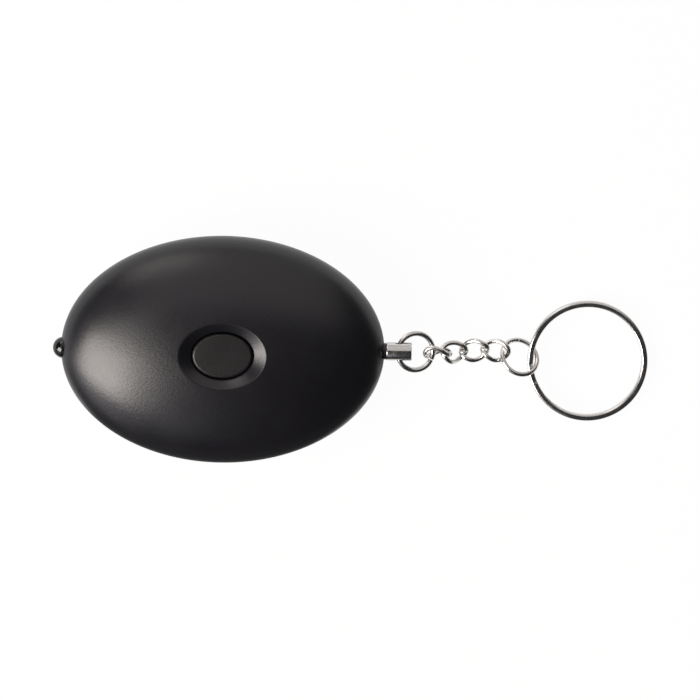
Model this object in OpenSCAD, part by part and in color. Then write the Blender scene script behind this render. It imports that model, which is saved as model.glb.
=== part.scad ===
// Personal safety alarm: an oval hand-held siren with a push button, a small light
// and a pull pin on a short key chain. Pulling the pin lets two contacts close.
// Origin: centre of the flat rear face. +X runs along the pull pin, +Z out of the button side.

/* [Housing] */
// Length of the oval housing
body_l = 75; // [73:0.5:82]
// Width of the oval housing
body_w = 53; // [50:0.5:58]
// Rise of the front dome above the parting plane
dome_h = 13; // [12:0.25:15]
// Height of the parting plane above the flat rear face
parting_z = 12; // [11.5:0.25:12.5]
// Depth of the rear bowl before its foot is cut flat
bowl_h = 13; // [12.75:0.25:14]
// Wall thickness of the mouldings
wall = 2; // [1.6:0.1:2.4]
// Height of the lip that locates the two shells
lip_h = 1.2; // [0.8:0.1:1.6]
// Thickness of the lip
lip_t = 0.8; // [0.6:0.1:1]
// Clearance round the lip
lip_gap = 0.1; // [0.05:0.05:0.2]

/* [Button] */
// Length of the oval button
button_l = 14; // [12.6:0.2:15.4]
// Width of the oval button
button_w = 10.5; // [9.4:0.1:11.6]
// Gap between the button and its opening
button_gap = 0.3; // [0.2:0.1:0.6]
// Length of the countersunk recess at the top of the dome
recess_l = 22; // [20:0.2:24]
// Width of the countersunk recess at the top of the dome
recess_w = 16.9; // [15.4:0.1:18.4]
// Depth of the recess below the top of the dome
recess_depth = 2.1; // [1.6:0.1:2.6]
// Rise of the button above the edge of its opening
button_stand = 0.6; // [0.3:0.1:1]
// Travel of the button
button_travel = 0.6; // [0.3:0.1:0.8]
// Bevel on the button's top edge
button_bevel = 0.5; // [0.3:0.1:0.7]
// Depth of the collar that the button slides in
collar_h = 1.9; // [1.4:0.1:2.4]
// Thickness of that collar
collar_t = 1.4; // [1:0.1:1.8]
// Thickness of the button's retaining flange
flange_t = 0.8; // [0.6:0.1:1]
// Clearance between the flange and the collar
flange_gap = 0.2; // [0.1:0.05:0.3]

/* [Light] */
// Diameter of the light's lens
led_d = 5; // [4.6:0.1:5.4]
// Length of the lens from dome to base
led_l = 8.6; // [8:0.1:9.4]
// Length that stands out of the housing
led_proud = 1.9; // [1.2:0.1:2.5]
// Diameter of the lens's base rim
led_rim_d = 5.8; // [5.6:0.1:6.2]
// Thickness of the base rim
led_rim_t = 1; // [0.6:0.1:1.2]
// Thickness of a leg
lead_t = 0.5; // [0.4:0.05:0.6]
// Spacing of the legs
lead_pitch = 2.54; // [2:0.02:3]
// Length of the legs
lead_l = 6; // [5:0.5:7]
// Radial clearance of the lens in the housing
led_fit = 0.05; // [0.02:0.01:0.1]

/* [Pull pin] */
// Diameter of the plated head
head_d = 4.2; // [4:0.1:5]
// Length of the plated head
head_l = 5.9; // [5.4:0.1:7]
// Bevel on the ends of the head
head_bevel = 0.3; // [0.1:0.05:0.5]
// Shaft left showing between housing and head
neck_l = 0.4; // [0.2:0.1:1]
// Diameter of the shaft
shaft_d = 3.8; // [3.4:0.1:3.9]
// Length of the shaft behind the head's shoulder
shaft_l = 12; // [11.5:0.25:13]
// Diameter of the tip that parts the contacts
tip_d = 2.4; // [2:0.1:2.8]
// Length of that tip
tip_l = 6.1; // [5.6:0.1:7]
// Radial clearance of the shaft in the housing
shaft_fit = 0.05; // [0.02:0.01:0.1]
// Distance from the head's shoulder to its cross hole
eye_x = 3; // [2.6:0.1:3.4]
// Diameter of the cross hole
eye_d = 2.2; // [2.1:0.05:2.4]
// Diameter of the shaft's tenon in the head
tenon_d = 2; // [1.6:0.1:2.4]
// Length of the tenon
tenon_l = 1.2; // [0.8:0.1:1.4]

/* [Chain] */
// Outer diameter of the jump ring on the pin
pin_ring_od = 9.8; // [9.2:0.1:11]
// Wire of the jump ring on the pin
pin_ring_wire = 1.2; // [1:0.05:1.25]
// Length of a chain link
link_l = 7.3; // [7:0.1:8]
// Width of a chain link
link_w = 5.6; // [5.3:0.1:6.2]
// Wire of a chain link
link_wire = 1.1; // [0.9:0.05:1.15]
// Turn of each end of a link about its length
link_twist = 39; // [36:1:42]
// Outer diameter of the jump ring on the split ring
key_ring_od = 9.8; // [9.2:0.1:11]
// Wire of the jump ring on the split ring
key_ring_wire = 1.1; // [0.9:0.05:1.15]
// Width of the cut in each jump ring
ring_cut = 0.2; // [0.1:0.05:0.4]

/* [Split ring] */
// Outer diameter of the split ring
split_od = 28; // [24:0.5:32]
// Width of its flat wire, seen from above
split_band = 1.4; // [1.2:0.1:1.8]
// Height of its flat wire
split_h = 1.15; // [1:0.05:1.2]
// Bevel on the edges of its wire
split_bevel = 0.2; // [0.1:0.05:0.3]
// Angle over which the wire steps from one turn to the other
split_step_angle = 54; // [50:1:60]
// Gap between the two turns
split_gap = 0.06; // [0.04:0.01:0.1]

/* [Circuit board] */
// Thickness of the board
board_t = 1.6; // [1:0.2:1.6]
// Clearance between the board and the wall
board_gap = 1; // [0.6:0.1:1.4]
// Width of the board
board_w = 36; // [32:0.5:38]
// Side of the switch body
switch_w = 6; // [5.6:0.1:6.4]
// Height of the switch body
switch_h = 3.5; // [3.2:0.1:3.8]
// Diameter of the switch plunger
plunger_d = 3.4; // [3:0.1:3.6]
// Rise of the plunger above the switch body
plunger_rise = 0.9; // [0.8:0.1:1.2]
// Radial clearance of the plunger
plunger_fit = 0.05; // [0.02:0.01:0.1]
// Gap between the button's stem and the plunger
stem_gap = 0.05; // [0.02:0.01:0.1]
// Diameter of the step-up coil
coil_d = 8; // [7:0.2:9]
// Height of the step-up coil
coil_h = 5.6; // [5:0.2:5.8]

/* [Siren] */
// Diameter of the brass disc
siren_d = 25; // [23:0.5:26]
// Thickness of the brass disc
siren_t = 0.3; // [0.2:0.05:0.4]
// Diameter of the ceramic layer
ceramic_d = 19; // [17:0.5:20]
// Thickness of the ceramic layer
ceramic_t = 0.25; // [0.2:0.05:0.3]
// Height of the disc's seat above the floor
siren_rise = 2.5; // [2.3:0.1:3]
// Width of the seat
seat_t = 1.5; // [1.2:0.1:2]
// Diameter of the two siren wires
wire_d = 0.9; // [0.7:0.1:1.2]
// Width of a sound slot
slot_w = 2; // [1.4:0.1:2.2]
// Spacing of the sound slots
slot_pitch = 3.4; // [3.2:0.1:3.6]
// Radius of the round field of slots
slot_field_r = 7.5; // [7.2:0.1:8]

/* [Battery] */
// Diameter of a button cell
cell_d = 11.6; // [11:0.1:11.8]
// Height of a button cell
cell_h = 5.4; // [5:0.1:5.6]
// Drop of the cells' axis below the parting plane
cell_drop = 2; // [1.6:0.1:2.2]
// Room for a contact at each end of the stack
contact_room = 1.8; // [1.6:0.1:2.2]
// Thickness of the sheet metal contacts
contact_t = 0.4; // [0.3:0.05:0.5]
// Thickness of the battery box walls
box_t = 1.2; // [1:0.1:1.4]
// Clearance round the cells
cell_gap = 0.4; // [0.3:0.05:0.5]
// Thickness of a spring leaf
leaf_t = 0.25; // [0.2:0.05:0.3]
// Width of a spring leaf
leaf_w = 3; // [2.5:0.1:3.4]
// Gap between a leaf and the pin's tip
leaf_gap = 0.05; // [0.03:0.01:0.1]

/* [Screws] */
// Diameter of the screw shank
screw_d = 1.9; // [1.7:0.1:2]
// Diameter of the screw head
screw_head_d = 3.8; // [3.4:0.1:4]
// Height of the screw head
screw_head_h = 1.4; // [1:0.1:1.6]
// Length of the shank
screw_l = 10; // [9:0.25:10.5]
// Diameter of the screw bosses
boss_d = 5.2; // [5:0.1:5.8]
// Radial clearance of shank and head
screw_fit = 0.1; // [0.05:0.05:0.2]

/* [Hidden] */
$fn = 64;

black_plastic = [0.09, 0.09, 0.095];
button_black = [0.17, 0.165, 0.17];
chrome = [0.8, 0.8, 0.82];
steel = [0.62, 0.63, 0.65];
brass = [0.8, 0.62, 0.28];
board_green = [0.1, 0.35, 0.18];
ceramic_white = [0.9, 0.88, 0.82];
copper = [0.72, 0.4, 0.2];
smoked = [0.14, 0.14, 0.15];

// Length that a cutter runs past the face it cuts
past = 1;
// Larger than the whole object
far = 200;

// Half sizes of the housing
half_l = body_l / 2;
half_w = body_w / 2;
dome_top = parting_z + dome_h;
// The lip stands this far out from the inner wall and reaches this far down into the rim
lip_in = 0.2;
lip_root = 0.6;
lip_out = lip_in + lip_t - wall;

// Pull pin, measured along X
head_x = half_l + neck_l;
tip_x = head_x - shaft_l;
tip_point = 1;
step_x = tip_x + tip_l;
eye_at = head_x + eye_x;
tenon_fit = 0.02;
guide_in = 5;
guide_wall = 1.6;
guide_d = shaft_d + 2 * guide_wall;

// Contacts and battery box, placed inwards from the pin's tip
carrier_l = 2;
carrier_w = 6.4;
carrier_gap = 0.5;
carrier_x1 = tip_x - carrier_gap;
carrier_x0 = carrier_x1 - carrier_l;
carrier_drop = 5;
carrier_z = parting_z - carrier_drop;
carrier_h = 9;
carrier_fit = 0.02;
leaf_short = 1.1;
leaf_reach = tip_l - leaf_short;
leaf_flare = 0.6;
leaf_flare_l = 1;
leaf_z = tip_d / 2 + leaf_gap;
box_x1 = carrier_x0;
cell_x = box_x1 - box_t - cell_gap - cell_d / 2;
cell_z = parting_z - cell_drop;
cell_count = 4;
cell_rim = 0.9;
cell_cap = 0.5;
cell_touch = 0.02;
stack_l = cell_count * cell_h;
box_x0 = cell_x - cell_d / 2 - cell_gap - box_t;
box_y = stack_l / 2 + contact_room;
saddle_y = 6;
saddle_t = 1.6;
saddle_drop = 2.5;
saddle_fit = 0.1;
contact_w = 7;
contact_edge = 1;
contact_touch = 0.05;
contact_spring = contact_room - contact_t - contact_touch;

// Light, along -X
led_tip = -half_l - led_proud;
led_back = led_tip + led_l;
cradle_wall = 1.5;
cradle_d = led_d + 2 * cradle_wall;

// Circuit board: lies on the light's legs, from the light to the battery box
board_end_gap = 2.6;
board_over = 0.8;
board_z = parting_z + lead_t / 2;
board_top = board_z + board_t;
board_x0 = led_back + board_end_gap;
board_x1 = box_x0 + board_over;
switch_top = board_top + switch_h;
plunger_top = switch_top + plunger_rise;
plunger_sink = 1.5;
plunger_room = 0.3;
coil_flange = 1.1;
coil_core_d = 3.6;
coil_gap = 0.05;
leg_t = 0.4;
leg_l = 0.5;
leg_pitch = 1.27;
transistor_d = 4.8;
transistor_h = 4.4;
transistor_flat = 1.4;
chip_l = 5;
chip_w = 4;
chip_h = 1.4;
chip_rise = 0.15;
chip_span = 6;
chip_leg_h = 0.25;
capacitor_d = 5;
capacitor_h = 5;

// Places on the board, measured in from its ends and sides
coil_in = 10;
transistor_in = 15;
transistor_side = 9;
chip_in = 17.5;
chip_side = 8;
capacitor_in = 4;
capacitor_side = 7;
coil_at = [board_x0 + coil_in, 0];
transistor_at = [board_x0 + transistor_in, board_w / 2 - transistor_side];
chip_at = [board_x1 - chip_in, chip_side - board_w / 2];
capacitor_at = [board_x1 - capacitor_in, board_w / 2 - capacitor_side];

// Button, measured down from the dome
opening_z = dome_top - recess_depth;
opening_l = button_l + 2 * button_gap;
opening_w = button_w + 2 * button_gap;
collar_z = opening_z - collar_h;
flange_z1 = collar_z - flange_gap;
flange_z0 = flange_z1 - flange_t;
flange_reach = 1.1;
button_top = opening_z + button_stand;
stem_d = 4.4;
// The recess cone runs on past the dome by this share of its depth
recess_run = 1.5;

// Siren beside the battery box
siren_side = 4.2;
siren_edge_gap = 0.5;
siren_z = wall + siren_rise;
// Half length of the bowl's inside at the disc's height, which the disc keeps within
siren_drop = (parting_z - siren_z) / (bowl_h - wall);
siren_room = (half_l - wall) * sqrt(1 - siren_drop * siren_drop);
siren_x = max(box_x0 - siren_d / 2 - siren_side, siren_d / 2 + siren_edge_gap - siren_room);
siren_top = siren_z + siren_t;
slot_rows = 2;

// Case screws: two through the board and clear of the siren, two beside the pin
screw_left_in = 15;
screw_left_side = 11;
screw_right_in = 10;
screw_right_side = 9;
boss_gap = 0.5;
boss_reach = (siren_d + boss_d) / 2 + boss_gap;
screw_left = screw_left_in - half_l;
screw_right = half_l - screw_right_in;
siren_off = screw_left - siren_x;
screw_left_y = max(screw_left_side, sqrt(max(0, boss_reach * boss_reach - siren_off * siren_off)));
screw_at = [[screw_left, screw_left_y], [screw_left, -screw_left_y],
    [screw_right, screw_right_side], [screw_right, -screw_right_side]];
screw_drop = 5;
screw_seat = parting_z - screw_drop;
cross_l = 2.2;
cross_w = 0.5;
cross_depth = 0.7;
pilot_extra = 0.5;

// Chain: yaw, downward slope and roll of each piece as it lies
pin_ring_pose = [-3, 19, 0];
link_pose = [[-4, 24, -107], [-4, 28, 3], [9, 2, -1], [-6, 6, -15]];
key_ring_pose = [-20, 12, -37];
split_pose = [0, 4, 0];
// Slack left at each crossing, from the pin to the split ring
link_slack = [0.7, 0.75, 0.15, 0.15, 0.3, 0.4];
link_sides = 12;
link_rings = 40;
pin_ring_cut_angle = -24;
key_ring_cut_angle = 105;
split_start_angle = 150;
split_rings_per_turn = 60;

function direction(pose) =
    [cos(pose[1]) * cos(pose[0]), cos(pose[1]) * sin(pose[0]), -sin(pose[1])];

pin_ring_r = (pin_ring_od - pin_ring_wire) / 2;
key_ring_r = (key_ring_od - key_ring_wire) / 2;
split_r = (split_od - split_band) / 2;
// The ring's wire bows through the cross hole, so half of its bow lies on each side
pin_ring_bow = (pin_ring_r - sqrt(pin_ring_r * pin_ring_r - head_d * head_d / 4)) / 2;
eye_point = [eye_at, 0, parting_z];
pin_ring_centre = eye_point + direction(pin_ring_pose) * (pin_ring_r - pin_ring_bow);
link_half = (link_l - link_wire) / 2;
link_half_w = (link_w - link_wire) / 2;

// Start of a link: the centre of the wire at its end nearer the pin
function link_start(i) = i == 0
    ? pin_ring_centre + direction(pin_ring_pose)
        * (pin_ring_r - (pin_ring_wire + link_wire) / 2 - link_slack[0])
    : link_start(i - 1) + direction(link_pose[i - 1]) * (2 * link_half - link_wire - link_slack[i]);
function link_centre(i) = link_start(i) + direction(link_pose[i]) * link_half;

key_ring_start = link_start(3)
    + direction(link_pose[3]) * (2 * link_half - (link_wire + key_ring_wire) / 2 - link_slack[4]);
key_ring_centre = key_ring_start + direction(key_ring_pose) * key_ring_r;
split_edge = key_ring_centre
    + direction(key_ring_pose) * (key_ring_r - (key_ring_wire + split_band) / 2 - link_slack[5]);
// The split ring's far edge rests on the surface that the housing lies on
split_z = split_h + split_gap / 2 + split_od / 2 * sin(split_pose[1]);
split_place = split_edge + direction(split_pose) * split_r;
split_centre = [split_place[0], split_place[1], split_z];

// A slice of space between two heights
module slab(z0, z1) translate([-far / 2, -far / 2, z0]) cube([far, far, z1 - z0]);

// An oval prism
module oval(l, w, h) linear_extrude(h) scale([l / 2, w / 2]) circle(1);

// A round bar along X on the parting plane
module bar_x(x0, x1, d) translate([x0, 0, parting_z]) rotate([0, 90, 0]) cylinder(h = x1 - x0, d = d);

// A slab with a profile in X and Z, centred on Y
module side_profile(w) rotate([90, 0, 0]) linear_extrude(w, center = true) children();

module ellipsoid(rise, inset)
    translate([0, 0, parting_z])
        scale([half_l - inset, half_w - inset, rise - inset])
            rotate([0, 0, 45]) sphere(1, $fn = 96);

// Solid form of the front dome
module front_form(inset) intersection() {
    ellipsoid(dome_h, inset);
    slab(parting_z, far);
}

// Solid form of the rear bowl, closed above so that ribs can rise past the parting plane
module rear_form(inset) intersection() {
    ellipsoid(bowl_h, inset);
    slab(inset, far);
}

module screw_places() for (p = screw_at) translate([p[0], p[1], 0]) children();

// Room for the light and the pin, shared by both shells
module end_bores() {
    bar_x(led_tip - past, led_back + past, led_d + 2 * led_fit);
    bar_x(half_l - guide_in - past, head_x + past, shaft_d + 2 * shaft_fit);
}

// Collars that hold the light and guide the pin, half in each shell
module end_collars() {
    bar_x(-half_l, led_back - led_rim_t - led_fit, cradle_d);
    bar_x(half_l - guide_in, half_l, guide_d);
}

// Outline of the rim inside or outside the lip, grown by a clearance
module lip_oval(grow, z0, z1)
    translate([0, 0, z0]) oval(body_l + 2 * grow, body_w + 2 * grow, z1 - z0);

module front_shell() color(black_plastic) difference() {
    union() {
        difference() {
            front_form(0);
            ellipsoid(dome_h, wall);
            lip_oval(lip_out + lip_gap, parting_z - past, parting_z + lip_h + lip_gap);
        }
        intersection() {
            front_form(wall / 2);
            front_ribs();
        }
    }
    end_bores();
    translate([0, 0, opening_z]) scale([1, recess_w / recess_l, 1])
        cylinder(h = recess_depth * recess_run, d1 = opening_w * recess_l / recess_w,
            d2 = opening_w * recess_l / recess_w * (1 - recess_run) + recess_l * recess_run);
    translate([0, 0, collar_z - past]) oval(opening_l, opening_w, dome_h);
    screw_places() translate([0, 0, parting_z - past])
        cylinder(h = screw_seat + screw_l + pilot_extra - parting_z + past, d = screw_d + screw_fit);
}

// Collars, bosses and the rib over the battery, inside the dome
module front_ribs() {
    end_collars();
    translate([0, 0, collar_z]) oval(opening_l + 2 * collar_t, opening_w + 2 * collar_t, dome_h);
    for (p = screw_at) translate([p[0], p[1], p[0] < 0 ? board_top : parting_z])
        cylinder(h = dome_h, d = boss_d);
    translate([cell_x - box_t / 2, -saddle_y, cell_z + cell_d / 2 + cell_gap])
        cube([box_t, 2 * saddle_y, dome_h]);
}

module rear_shell() color(black_plastic) difference() {
    union() {
        difference() {
            intersection() {
                rear_form(0);
                slab(-past, parting_z);
            }
            rear_form(wall);
        }
        intersection() {
            rear_form(wall / 2);
            rear_ribs();
        }
        shell_lip();
    }
    end_bores();
    sound_slots();
    screw_places() {
        cylinder(h = parting_z + past, d = screw_d + 2 * screw_fit);
        translate([0, 0, -past]) cylinder(h = screw_seat + past, d = screw_head_d + 2 * screw_fit);
    }
}

// Ribs, seats and bosses that stand on the rear shell's floor
module rear_ribs() {
    intersection() {
        end_collars();
        slab(0, parting_z);
    }
    translate([siren_x, 0, 0]) difference() {
        cylinder(h = siren_z, d = siren_d);
        translate([0, 0, -past]) cylinder(h = siren_z + 2 * past, d = siren_d - 2 * seat_t);
    }
    difference() {
        translate([box_x0, -box_y - box_t, 0]) cube([box_x1 - box_x0, 2 * (box_y + box_t), board_z]);
        translate([box_x0 + box_t, -box_y, -past])
            cube([box_x1 - box_x0 - 2 * box_t, 2 * box_y, board_z + 2 * past]);
    }
    difference() {
        for (side = [-1, 1]) translate([box_x0, side * saddle_y - saddle_t / 2, 0])
            cube([box_x1 - box_x0, saddle_t, cell_z - saddle_drop]);
        translate([cell_x, -box_y, cell_z]) rotate([-90, 0, 0])
            cylinder(h = 2 * box_y, d = cell_d + 2 * saddle_fit);
    }
    translate([box_x1 - box_t, -carrier_w / 2, 0]) cube([box_t + carrier_l, carrier_w, carrier_z]);
    for (p = screw_at) translate([p[0], p[1], 0])
        cylinder(h = p[0] < 0 ? board_z : parting_z, d = boss_d);
}

// Lip that rises into the front shell, broken where the light and the pin pass
module shell_lip() difference() {
    lip_oval(lip_out, parting_z - lip_root, parting_z + lip_h);
    lip_oval(lip_out - lip_t, parting_z - lip_root - past, parting_z + lip_h + past);
    bar_x(-far / 2, far / 2, max(cradle_d, guide_d) + 2 * lip_gap);
}

// Round-ended slots under the siren, in a round field
module sound_slots() for (row = [-slot_rows : slot_rows]) {
    y = row * slot_pitch;
    half = sqrt(slot_field_r * slot_field_r - y * y) - slot_w / 2;
    translate([siren_x, y, -past]) linear_extrude(wall + 2 * past) {
        square([2 * half, slot_w], center = true);
        for (end = [-1, 1]) translate([end * half, 0]) circle(d = slot_w);
    }
}

module button_cap() color(button_black) {
    translate([0, 0, flange_z0])
        oval(opening_l + 2 * flange_reach, opening_w + 2 * flange_reach, flange_t);
    translate([0, 0, flange_z0]) oval(button_l, button_w, button_top - button_bevel - flange_z0);
    translate([0, 0, button_top - button_bevel]) scale([1, button_w / button_l, 1])
        cylinder(h = button_bevel, d1 = button_l, d2 = button_l - 2 * button_bevel);
    translate([0, 0, plunger_top + stem_gap]) cylinder(h = flange_z1 - plunger_top - stem_gap, d = stem_d);
}

module circuit_board() color(board_green) translate([0, 0, board_z]) linear_extrude(board_t) difference() {
    intersection() {
        scale([half_l - wall - board_gap, half_w - wall - board_gap]) circle(1);
        translate([board_x0, -board_w / 2]) square([board_x1 - board_x0, board_w]);
    }
    for (p = screw_at) translate(p) circle(d = screw_d + 2 * screw_fit);
}

module switch_body() color(button_black) difference() {
    translate([-switch_w / 2, -switch_w / 2, board_top]) cube([switch_w, switch_w, switch_h]);
    translate([0, 0, switch_top - plunger_sink - button_travel - plunger_room])
        cylinder(h = switch_h, d = plunger_d + 2 * plunger_fit);
}

module switch_plunger() color("white") translate([0, 0, switch_top - plunger_sink])
    cylinder(h = plunger_sink + plunger_rise, d = plunger_d);

module led_lens() color(smoked) translate([led_tip, 0, parting_z]) rotate([0, 90, 0]) {
    translate([0, 0, led_d / 2]) sphere(d = led_d);
    translate([0, 0, led_d / 2]) cylinder(h = led_l - led_d / 2, d = led_d);
    translate([0, 0, led_l - led_rim_t]) cylinder(h = led_rim_t, d = led_rim_d);
}

module led_leads() color(steel) for (side = [-1, 1])
    translate([led_back, side * lead_pitch / 2 - lead_t / 2, parting_z - lead_t / 2])
        cube([lead_l, lead_t, lead_t]);

module siren_disc() color(brass) translate([siren_x, 0, siren_z]) cylinder(h = siren_t, d = siren_d);

module siren_ceramic() color(ceramic_white) translate([siren_x, 0, siren_top])
    cylinder(h = ceramic_t, d = ceramic_d);

// One wire rises from the ceramic and one from the rim of the brass disc
module siren_wires() color("red") {
    translate([siren_x + ceramic_d / 4, 0, siren_top + ceramic_t])
        cylinder(h = board_z - siren_top - ceramic_t, d = wire_d);
    translate([siren_x + (ceramic_d + siren_d) / 4, 0, siren_top])
        cylinder(h = board_z - siren_top, d = wire_d);
}

module coil_core() color([0.25, 0.25, 0.27]) translate([coil_at[0], coil_at[1], board_top]) {
    cylinder(h = coil_flange, d = coil_d);
    cylinder(h = coil_h, d = coil_core_d);
    translate([0, 0, coil_h - coil_flange]) cylinder(h = coil_flange, d = coil_d);
}

module coil_winding() color(copper) translate([coil_at[0], coil_at[1], board_top + coil_flange]) difference() {
    cylinder(h = coil_h - 2 * coil_flange, d = coil_d - 2 * coil_gap);
    translate([0, 0, -past]) cylinder(h = coil_h, d = coil_core_d + 2 * coil_gap);
}

// Half-round transistor on three short legs
module drive_transistor() color(button_black) translate([transistor_at[0], transistor_at[1], board_top]) {
    translate([0, 0, leg_l]) linear_extrude(transistor_h) intersection() {
        circle(d = transistor_d);
        translate([-transistor_flat, -transistor_d]) square(2 * transistor_d);
    }
    for (i = [-1 : 1]) translate([-leg_t / 2, i * leg_pitch - leg_t / 2, 0])
        cube([leg_t, leg_t, leg_l + leg_t / 4]);
}

// Flat chip with a row of legs along each side
module control_chip() color(button_black) translate([chip_at[0], chip_at[1], board_top]) {
    translate([-chip_l / 2, -chip_w / 2, chip_rise]) cube([chip_l, chip_w, chip_h]);
    for (i = [-1.5 : 1.5]) translate([i * leg_pitch - leg_t / 2, -chip_span / 2, 0])
        cube([leg_t, chip_span, chip_leg_h]);
}

module board_capacitor() color([0.15, 0.2, 0.4]) translate([capacitor_at[0], capacitor_at[1], board_top])
    cylinder(h = capacitor_h, d = capacitor_d);

module battery_cells() color(steel) for (i = [0 : cell_count - 1])
    translate([cell_x, i * cell_h - stack_l / 2, cell_z]) rotate([-90, 0, 0]) {
        cylinder(h = cell_h - cell_cap, d = cell_d);
        cylinder(h = cell_h - cell_touch, d = cell_d - 2 * cell_rim);
    }

// Flat plate with a dimple that meets the top cell
module battery_contact_positive() color(steel) translate([cell_x, box_y, cell_z]) {
    translate([-contact_w / 2, -contact_t, -contact_w / 2]) cube([contact_w, contact_t, contact_w]);
    translate([0, -contact_t, 0]) rotate([90, 0, 0])
        cylinder(h = contact_spring, d1 = contact_w - 2 * contact_edge, d2 = contact_w / 2);
}

// Flat plate with a bowed spring that meets the last cell
module battery_contact_negative() color(steel) translate([cell_x, -box_y, cell_z]) {
    half = contact_w / 2 - contact_t;
    bow_r = (contact_spring * contact_spring + half * half) / (2 * contact_spring);
    translate([-contact_w / 2, 0, -contact_w / 2]) cube([contact_w, contact_t, contact_w]);
    translate([0, contact_t, 0]) rotate([90, 0, 90])
        linear_extrude(contact_w - 2 * contact_edge, center = true) intersection() {
            translate([contact_spring - bow_r, 0]) difference() {
                circle(bow_r);
                circle(bow_r - contact_t);
            }
            translate([-contact_t / 2, -contact_w]) square([2 * contact_w, 2 * contact_w]);
        }
}

// Spring leaf beside the pin's tip, flared where the tip enters; side is 1 above the pin, -1 below
module contact_leaf(side) color(brass) translate([carrier_x0, 0, parting_z]) side_profile(leaf_w) {
    straight = carrier_l + leaf_reach;
    tail = straight + leaf_flare_l;
    polygon([[0, side * leaf_z], [straight, side * leaf_z], [tail, side * (leaf_z + leaf_flare)],
        [tail, side * (leaf_z + leaf_flare + leaf_t)], [straight, side * (leaf_z + leaf_t)],
        [0, side * (leaf_z + leaf_t)]]);
}

module contact_carrier() color(ceramic_white) difference() {
    translate([carrier_x0, -carrier_w / 2, carrier_z]) cube([carrier_l, carrier_w, carrier_h]);
    for (side = [-1, 1])
        translate([carrier_x0 + carrier_l / 2, 0, parting_z + side * (leaf_z + leaf_t / 2)])
            cube([carrier_l + past, leaf_w + 2 * carrier_fit, leaf_t + 2 * carrier_fit], center = true);
}

module case_screws() color(steel) screw_places() translate([0, 0, screw_seat]) difference() {
    union() {
        cylinder(h = screw_l, d = screw_d);
        translate([0, 0, -screw_head_h]) cylinder(h = screw_head_h, d = screw_head_d);
    }
    for (turn = [0, 90]) rotate(turn) translate([0, 0, -screw_head_h])
        cube([cross_l, cross_w, 2 * cross_depth], center = true);
}

module pin_shaft() color(black_plastic) translate([tip_x, 0, parting_z]) rotate([0, 90, 0]) {
    cylinder(h = tip_point, d1 = tip_d / 2, d2 = tip_d);
    translate([0, 0, tip_point]) cylinder(h = tip_l - tip_point, d = tip_d);
    translate([0, 0, tip_l]) cylinder(h = shaft_l - tip_l, d = shaft_d);
    translate([0, 0, shaft_l]) cylinder(h = tenon_l, d = tenon_d);
}

module pin_head() color(chrome) difference() {
    translate([head_x, 0, parting_z]) rotate([0, 90, 0]) {
        cylinder(h = head_bevel, d1 = head_d - 2 * head_bevel, d2 = head_d);
        translate([0, 0, head_bevel]) cylinder(h = head_l - 2 * head_bevel, d = head_d);
        translate([0, 0, head_l - head_bevel])
            cylinder(h = head_bevel, d1 = head_d, d2 = head_d - 2 * head_bevel);
    }
    bar_x(head_x - past, head_x + tenon_l + tenon_fit, tenon_d + 2 * tenon_fit);
    translate(eye_point) rotate([90, 0, 0]) cylinder(h = 2 * head_d, d = eye_d, center = true);
}

// Places a piece of the chain by its centre and its yaw, slope and roll
module lay(centre, pose) translate(centre) rotate([pose[2], pose[1], pose[0]]) children();

// Round wire bent to a ring, with a narrow cut
module jump_ring(r, wire, cut_at) {
    cut = ring_cut / (2 * PI * r) * 360;
    rotate(cut_at + cut / 2) rotate_extrude(angle = 360 - cut) translate([r, 0]) circle(d = wire, $fn = 32);
}

// A tube of n sides through a list of rings; closed when its last ring joins its first
module tube(rings, closed) {
    count = len(rings);
    n = len(rings[0]);
    points = [for (ring = rings) each ring];
    walls = [for (i = [0 : closed ? count - 1 : count - 2]) for (j = [0 : n - 1])
        let (k = (i + 1) % count, m = (j + 1) % n)
        each [[i * n + j, i * n + m, k * n + m], [i * n + j, k * n + m, k * n + j]]];
    ends = closed ? [] : [[for (j = [n - 1 : -1 : 0]) j], [for (j = [0 : n - 1]) (count - 1) * n + j]];
    polyhedron(points, concat(walls, ends));
}

function unit(v) = v / norm(v);

// Centre of the link's wire: an oval loop whose ends are turned opposite ways about its length
function link_point(t) = let (y = link_half_w * sin(t), turn = link_twist * cos(t))
    [link_half * cos(t), y * cos(turn), y * sin(turn)];

// Ring of the link's wire, square to its run
function link_ring(t) =
    let (along = unit(link_point(t + 1) - link_point(t - 1)), turn = link_twist * cos(t),
        strip = [0, -sin(turn), cos(turn)],
        across = unit(strip - along * (strip * along)), side = cross(across, along))
    [for (j = [0 : link_sides - 1]) let (a = 360 * j / link_sides)
        link_point(t) + link_wire / 2 * (cos(a) * across + sin(a) * side)];

module chain_link(i) color(chrome) lay(link_centre(i), link_pose[i])
    tube([for (k = [0 : link_rings - 1]) link_ring(360 * k / link_rings)], true);

module pin_ring() color(chrome) lay(pin_ring_centre, pin_ring_pose)
    jump_ring(pin_ring_r, pin_ring_wire, pin_ring_cut_angle);

module key_jump_ring() color(chrome) lay(key_ring_centre, key_ring_pose)
    jump_ring(key_ring_r, key_ring_wire, key_ring_cut_angle);

// Height of the split ring's wire: the upper turn, then a smooth step, then the lower turn
function split_level(a) =
    let (s = min(1, max(0, (a - split_start_angle - 360) / split_step_angle)), smooth = s * s * (3 - 2 * s))
    (split_h + split_gap) / 2 * (1 - 2 * smooth);

// Section of the flat wire with bevelled edges, at an angle round the ring
function split_section(a) =
    let (w = split_band / 2, h = split_h / 2, b = split_bevel)
    [for (p = [[-w, b - h], [b - w, -h], [w - b, -h], [w, b - h], [w, h - b], [w - b, h], [b - w, h], [-w, h - b]])
        [(split_r + p[0]) * cos(a), (split_r + p[0]) * sin(a), split_level(a) + p[1]]];

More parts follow.
